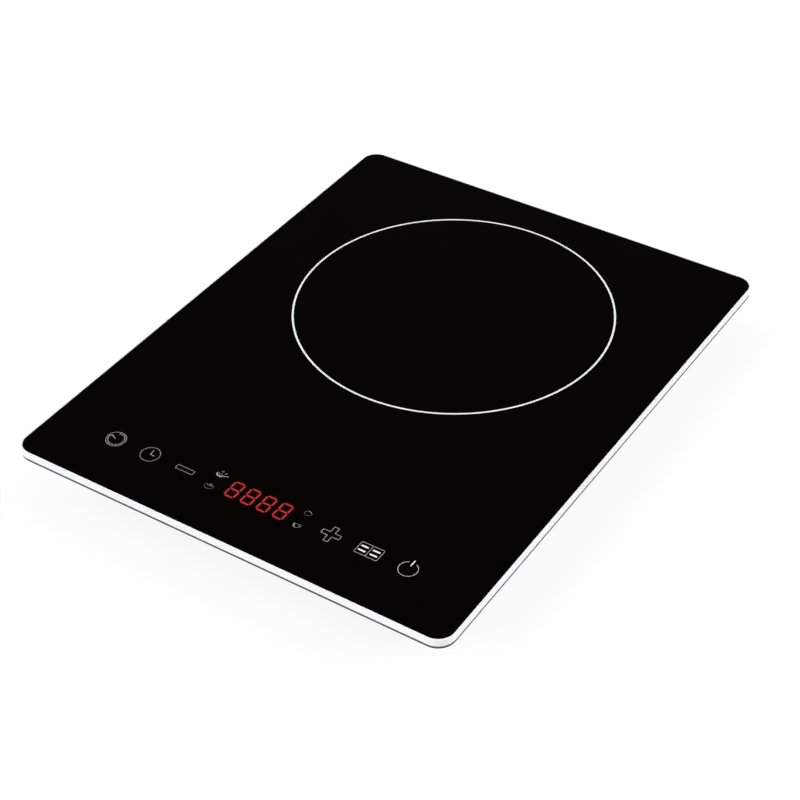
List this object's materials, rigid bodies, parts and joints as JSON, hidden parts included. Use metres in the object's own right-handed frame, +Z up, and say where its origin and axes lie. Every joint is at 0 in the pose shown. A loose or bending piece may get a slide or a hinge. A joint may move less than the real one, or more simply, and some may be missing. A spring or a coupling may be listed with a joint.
{
  "type": "induction cooktop",
  "caption": "Flat single-zone induction cooktop with a black glass top, a printed zone ring, a touch control row, a thin white rim and a dark tapered housing on feet.",
  "frame": {"origin": "middle of the footprint, on the surface that the feet stand on", "axes": "+Z up, -Y towards the cook (the control row), +X to the cook's right"},
  "size_m": [0.2918, 0.3718, 0.048],
  "materials": {
    "black_glass": "polished black glass",
    "white_print": "fired white print",
    "white_rim": "satin white",
    "charcoal_plastic": "fine texture",
    "black_rubber": "matt",
    "clear_silicone": "matt",
    "zinc_steel": "zinc plated",
    "gland_plastic": "satin",
    "former_plastic": "heat-resistant moulding",
    "copper_wire": "enamelled copper",
    "ferrite": "matt",
    "mica": "satin",
    "fibre_mat": "matt",
    "spring_steel": "bright",
    "white_silicone": "matt",
    "circuit_board": "solder mask",
    "display_body": "satin",
    "lit_red": "lit",
    "package_black": "moulded",
    "thermal_pad": "matt",
    "sink_aluminium": "extruded",
    "capacitor_yellow": "satin",
    "capacitor_can": "sleeved",
    "transformer_tape": "taped",
    "fuse_glass": "clear",
    "tinned_brass": "tinned",
    "socket_white": "satin",
    "ribbon_grey": "satin",
    "lead_red": "satin",
    "contact_foam": "matt",
    "fan_plastic": "moulded",
    "stator_steel": "laminated"
  },
  "bodies": {
    "root": {"glass_panel": "black_glass", "zone_ring": "white_print", "rim_frame": "white_rim", "glass_bond": "clear_silicone", "lower_housing": "charcoal_plastic", "rubber_feet": "black_rubber", "housing_screws": "zinc_steel", "cord_gland": "gland_plastic", "gland_nut": "gland_plastic", "coil_former": "former_plastic", "coil_winding": "copper_wire", "ferrite_bars": "ferrite", "mica_sheet": "mica", "insulation_mat": "fibre_mat", "coil_screws": "zinc_steel", "coil_leads": "copper_wire", "coil_crimp": "tinned_brass", "sensor_holder": "former_plastic", "sensor_spring": "spring_steel", "pan_sensor": "white_silicone", "sensor_lead": "lead_red", "power_board": "circuit_board", "power_board_screws": "zinc_steel", "heat_sink": "sink_aluminium", "power_transistor": "package_black", "bridge_rectifier": "package_black", "thermal_pads": "thermal_pad", "resonance_capacitor": "capacitor_yellow", "filter_capacitor": "capacitor_yellow", "electrolytic_capacitors": "capacitor_can", "choke_core": "ferrite", "choke_winding": "copper_wire", "supply_transformer": "transformer_tape", "mains_fuse": "fuse_glass", "fuse_clips": "tinned_brass", "buzzer": "package_black", "coil_terminals": "tinned_brass", "mains_tabs": "tinned_brass", "wire_sockets": "socket_white", "ribbon_sockets": "socket_white", "ribbon_cable": "ribbon_grey", "control_board": "circuit_board", "control_screws": "zinc_steel", "display_module": "display_body", "display_segments": "lit_red", "touch_pillars": "contact_foam", "indicator_lamps": "lit_red", "controller_chip": "package_black", "fan_frame": "fan_plastic", "fan_stator": "stator_steel", "fan_bushing": "tinned_brass", "fan_screws": "zinc_steel", "fan_lead": "lead_red"},
    "fan_rotor": {"fan_impeller": "fan_plastic", "fan_magnet": "ferrite", "fan_shaft": "spring_steel"}
  },
  "joints": [
    {"name": "fan_spin", "type": "hinge", "parent": "root", "child": "fan_rotor", "pos_m": [-0.07154, -0.092, 0.0169], "axis": [0, 0, 1], "continuous": true}
  ]
}
